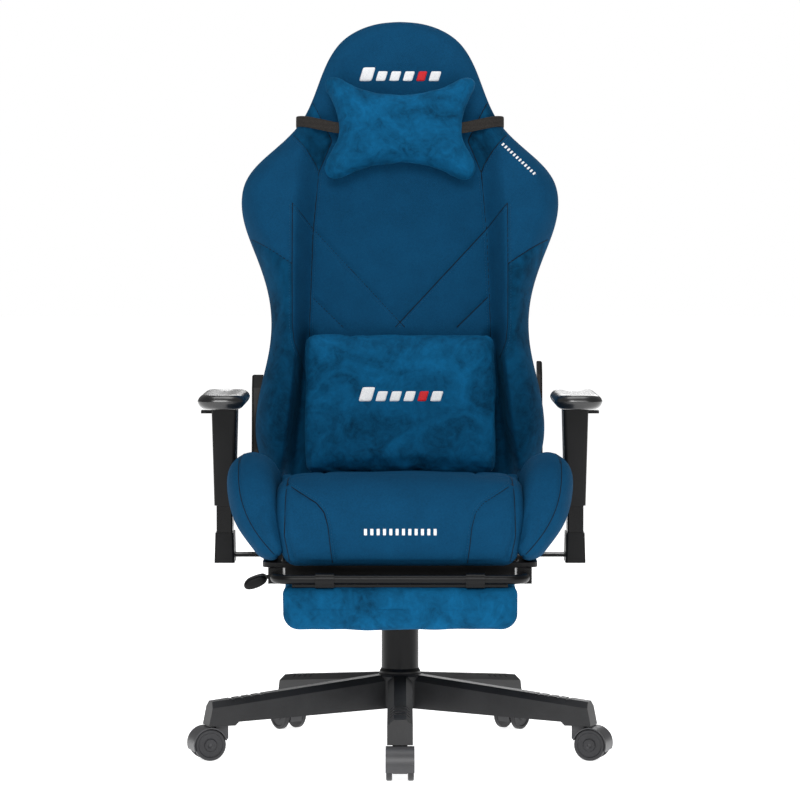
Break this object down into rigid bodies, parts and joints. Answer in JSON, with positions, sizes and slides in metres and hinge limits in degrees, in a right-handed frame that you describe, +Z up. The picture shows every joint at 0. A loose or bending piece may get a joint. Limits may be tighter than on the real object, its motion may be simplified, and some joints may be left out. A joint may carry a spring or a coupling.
{
  "type": "gaming chair",
  "caption": "High-backed swivel chair with winged backrest, bolstered seat, height-adjustable armrests, sliding footrest, loose pillows and a star base on twin-wheel casters.",
  "frame": {"origin": "on the floor, on the axis of the gas column", "axes": "+Z up, the sitter faces -Y, +X at the sitter's left hand"},
  "size_m": [0.7032, 0.7249, 1.2391],
  "materials": {
    "base_nylon": "fine moulded grain, glass-filled nylon",
    "column_steel": "black enamel",
    "rod_steel": "ground steel",
    "column_cover": "satin black plastic",
    "caster_hood": "satin dark grey nylon",
    "caster_wheel": "satin dark grey tread",
    "frame_steel": "black powder coat",
    "black_plastic": "fine grained black plastic",
    "post_plastic": "smooth black plastic",
    "armrest_foam": "satin self-skinned polyurethane",
    "blue_weave": "petrol blue flat weave",
    "blue_velour": "petrol blue short-pile velour",
    "strap_elastic": "black elastic webbing"
  },
  "bodies": {
    "base": {"star_base": "base_nylon", "column_tube": "column_steel", "column_cover_lower": "column_cover"},
    "caster_1": {"caster_yoke_1": "caster_hood"},
    "wheel_1a": {"caster_wheel_1a": "caster_wheel"},
    "wheel_1b": {"caster_wheel_1b": "caster_wheel"},
    "caster_2": {"caster_yoke_2": "caster_hood"},
    "wheel_2a": {"caster_wheel_2a": "caster_wheel"},
    "wheel_2b": {"caster_wheel_2b": "caster_wheel"},
    "caster_3": {"caster_yoke_3": "caster_hood"},
    "wheel_3a": {"caster_wheel_3a": "caster_wheel"},
    "wheel_3b": {"caster_wheel_3b": "caster_wheel"},
    "caster_4": {"caster_yoke_4": "caster_hood"},
    "wheel_4a": {"caster_wheel_4a": "caster_wheel"},
    "wheel_4b": {"caster_wheel_4b": "caster_wheel"},
    "caster_5": {"caster_yoke_5": "caster_hood"},
    "wheel_5a": {"caster_wheel_5a": "caster_wheel"},
    "wheel_5b": {"caster_wheel_5b": "caster_wheel"},
    "piston": {"piston_rod": "rod_steel"},
    "mechanism": {"gas_cylinder": "column_steel", "column_cover_upper": "column_cover", "mechanism_housing": "frame_steel", "tension_spring": "rod_steel"},
    "cover_middle": {"column_cover_middle": "column_cover"},
    "valve_pin": {"release_pin": "rod_steel"},
    "lever_pivot": {"lever_bush": "black_plastic"},
    "lever": {"lift_lever": "frame_steel", "lift_lever_grip": "black_plastic"},
    "seat": {"seat_plate": "frame_steel", "tilt_fasteners": "rod_steel", "seat_frame": "frame_steel", "seat_bolts": "rod_steel", "seat_cushion": "blue_weave", "seat_bolster_right": "blue_weave", "seat_bolster_left": "blue_weave", "armrest_brackets": "frame_steel", "armrest_socket_right": "black_plastic", "armrest_socket_left": "black_plastic", "armrest_post_right": "post_plastic", "armrest_post_left": "post_plastic", "footrest_rails": "frame_steel", "recliner_plates": "frame_steel"},
    "knob": {"tension_knob": "black_plastic"},
    "armrest_right": {"armrest_sleeve_right": "black_plastic", "armrest_pad_right": "armrest_foam"},
    "armrest_latch_right": {"armrest_lever_right": "black_plastic"},
    "armrest_left": {"armrest_sleeve_left": "black_plastic", "armrest_pad_left": "armrest_foam"},
    "armrest_latch_left": {"armrest_lever_left": "black_plastic"},
    "footrest_slider": {"footrest_frame": "frame_steel"},
    "footrest": {"footrest_hinge": "frame_steel", "footrest_pad": "blue_velour"},
    "back": {"back_frame": "frame_steel", "back_cushion": "blue_weave", "hinge_cover_right": "black_plastic", "hinge_cover_left": "black_plastic", "neck_pillow": "blue_velour", "neck_strap": "strap_elastic", "lumbar_pillow": "blue_velour"},
    "recline_handle": {"recline_lever": "black_plastic"}
  },
  "joints": [
    {"name": "caster_1_swivel", "type": "hinge", "parent": "base", "child": "caster_1", "pos_m": [0, -0.312, 0.05], "axis": [0, 0, 1], "continuous": true},
    {"name": "wheel_1a_spin", "type": "hinge", "parent": "caster_1", "child": "wheel_1a", "pos_m": [0, -0.3335, 0.026], "axis": [1, 0, 0], "continuous": true},
    {"name": "wheel_1b_spin", "type": "hinge", "parent": "caster_1", "child": "wheel_1b", "pos_m": [0, -0.3335, 0.026], "axis": [1, 0, 0], "continuous": true},
    {"name": "caster_2_swivel", "type": "hinge", "parent": "base", "child": "caster_2", "pos_m": [0.29673, -0.09641, 0.05], "axis": [0, 0, 1], "continuous": true},
    {"name": "wheel_2a_spin", "type": "hinge", "parent": "caster_2", "child": "wheel_2a", "pos_m": [0.31718, -0.10306, 0.026], "axis": [0.309, 0.9511, 0], "continuous": true},
    {"name": "wheel_2b_spin", "type": "hinge", "parent": "caster_2", "child": "wheel_2b", "pos_m": [0.31718, -0.10306, 0.026], "axis": [0.309, 0.9511, 0], "continuous": true},
    {"name": "caster_3_swivel", "type": "hinge", "parent": "base", "child": "caster_3", "pos_m": [0.18339, 0.25241, 0.05], "axis": [0, 0, 1], "continuous": true},
    {"name": "wheel_3a_spin", "type": "hinge", "parent": "caster_3", "child": "wheel_3a", "pos_m": [0.19603, 0.26981, 0.026], "axis": [-0.809, 0.5878, 0], "continuous": true},
    {"name": "wheel_3b_spin", "type": "hinge", "parent": "caster_3", "child": "wheel_3b", "pos_m": [0.19603, 0.26981, 0.026], "axis": [-0.809, 0.5878, 0], "continuous": true},
    {"name": "caster_4_swivel", "type": "hinge", "parent": "base", "child": "caster_4", "pos_m": [-0.18339, 0.25241, 0.05], "axis": [0, 0, 1], "continuous": true},
    {"name": "wheel_4a_spin", "type": "hinge", "parent": "caster_4", "child": "wheel_4a", "pos_m": [-0.19603, 0.26981, 0.026], "axis": [-0.809, -0.5878, 0], "continuous": true},
    {"name": "wheel_4b_spin", "type": "hinge", "parent": "caster_4", "child": "wheel_4b", "pos_m": [-0.19603, 0.26981, 0.026], "axis": [-0.809, -0.5878, 0], "continuous": true},
    {"name": "caster_5_swivel", "type": "hinge", "parent": "base", "child": "caster_5", "pos_m": [-0.29673, -0.09641, 0.05], "axis": [0, 0, 1], "continuous": true},
    {"name": "wheel_5a_spin", "type": "hinge", "parent": "caster_5", "child": "wheel_5a", "pos_m": [-0.31718, -0.10306, 0.026], "axis": [0.309, -0.9511, 0], "continuous": true},
    {"name": "wheel_5b_spin", "type": "hinge", "parent": "caster_5", "child": "wheel_5b", "pos_m": [-0.31718, -0.10306, 0.026], "axis": [0.309, -0.9511, 0], "continuous": true},
    {"name": "seat_swivel", "type": "hinge", "parent": "base", "child": "piston", "pos_m": [0, 0, 0.08], "axis": [0, 0, 1], "continuous": true},
    {"name": "gas_lift", "type": "slide", "parent": "piston", "child": "mechanism", "axis": [0, 0, 1], "range_m": [0, 0.08]},
    {"name": "cover_travel", "type": "slide", "parent": "mechanism", "child": "cover_middle", "axis": [0, 0, -1], "range_m": [0, 0.04]},
    {"name": "seat_tilt", "type": "hinge", "parent": "mechanism", "child": "seat", "pos_m": [0, -0.045, 0.309], "axis": [-1, 0, 0], "range_deg": [0, 12], "stiffness_Nm_per_rad": 80, "springref_deg": -25.78, "deforming": ["tension_spring"]},
    {"name": "lever_turn", "type": "hinge", "parent": "mechanism", "child": "lever_pivot", "pos_m": [0, -0.045, 0.296], "axis": [-1, 0, 0], "range_deg": [0, 6], "stiffness_Nm_per_rad": 1, "springref_deg": -17.19},
    {"name": "lever_pull", "type": "slide", "parent": "lever_pivot", "child": "lever", "axis": [-1, 0, 0], "range_m": [0, 0.015]},
    {"name": "valve_press", "type": "slide", "parent": "mechanism", "child": "valve_pin", "axis": [0, 0, -1], "range_m": [0, 0.0053]},
    {"name": "knob_turn", "type": "hinge", "parent": "seat", "child": "knob", "pos_m": [0, -0.075, 0.235], "axis": [0, 0, 1], "continuous": true},
    {"name": "armrest_right_height", "type": "slide", "parent": "seat", "child": "armrest_right", "axis": [0, 0, 1], "range_m": [-0.035, 0.04]},
    {"name": "armrest_right_latch", "type": "hinge", "parent": "armrest_right", "child": "armrest_latch_right", "pos_m": [-0.31, 0.045, 0.566], "axis": [0, 1, 0], "range_deg": [0, 8], "stiffness_Nm_per_rad": 0.1, "springref_deg": -5.73},
    {"name": "armrest_left_height", "type": "slide", "parent": "seat", "child": "armrest_left", "axis": [0, 0, 1], "range_m": [-0.035, 0.04]},
    {"name": "armrest_left_latch", "type": "hinge", "parent": "armrest_left", "child": "armrest_latch_left", "pos_m": [0.31, 0.045, 0.566], "axis": [0, -1, 0], "range_deg": [0, 8], "stiffness_Nm_per_rad": 0.1, "springref_deg": -5.73},
    {"name": "footrest_slide", "type": "slide", "parent": "seat", "child": "footrest_slider", "axis": [0, -1, 0], "range_m": [0, 0.3]},
    {"name": "footrest_flip", "type": "hinge", "parent": "footrest_slider", "child": "footrest", "pos_m": [0, -0.29, 0.315], "axis": [-1, 0, 0], "range_deg": [0, 180]},
    {"name": "back_recline", "type": "hinge", "parent": "seat", "child": "back", "pos_m": [0, 0.22, 0.4], "axis": [-1, 0, 0], "range_deg": [0, 50]},
    {"name": "recline_release", "type": "hinge", "parent": "seat", "child": "recline_handle", "pos_m": [-0.26, 0.22, 0.4], "axis": [-1, 0, 0], "range_deg": [0, 25], "stiffness_Nm_per_rad": 0.5, "springref_deg": -22.92}
  ],
  "couplings": [
    {"joint": "cover_travel", "follows": "gas_lift", "ratio": 0.5},
    {"joint": "valve_press", "follows": "lever_turn", "m_per_rad": 0.05},
    {"joint": "footrest_flip", "follows": "footrest_slide", "rad_per_m": 10.472}
  ]
}
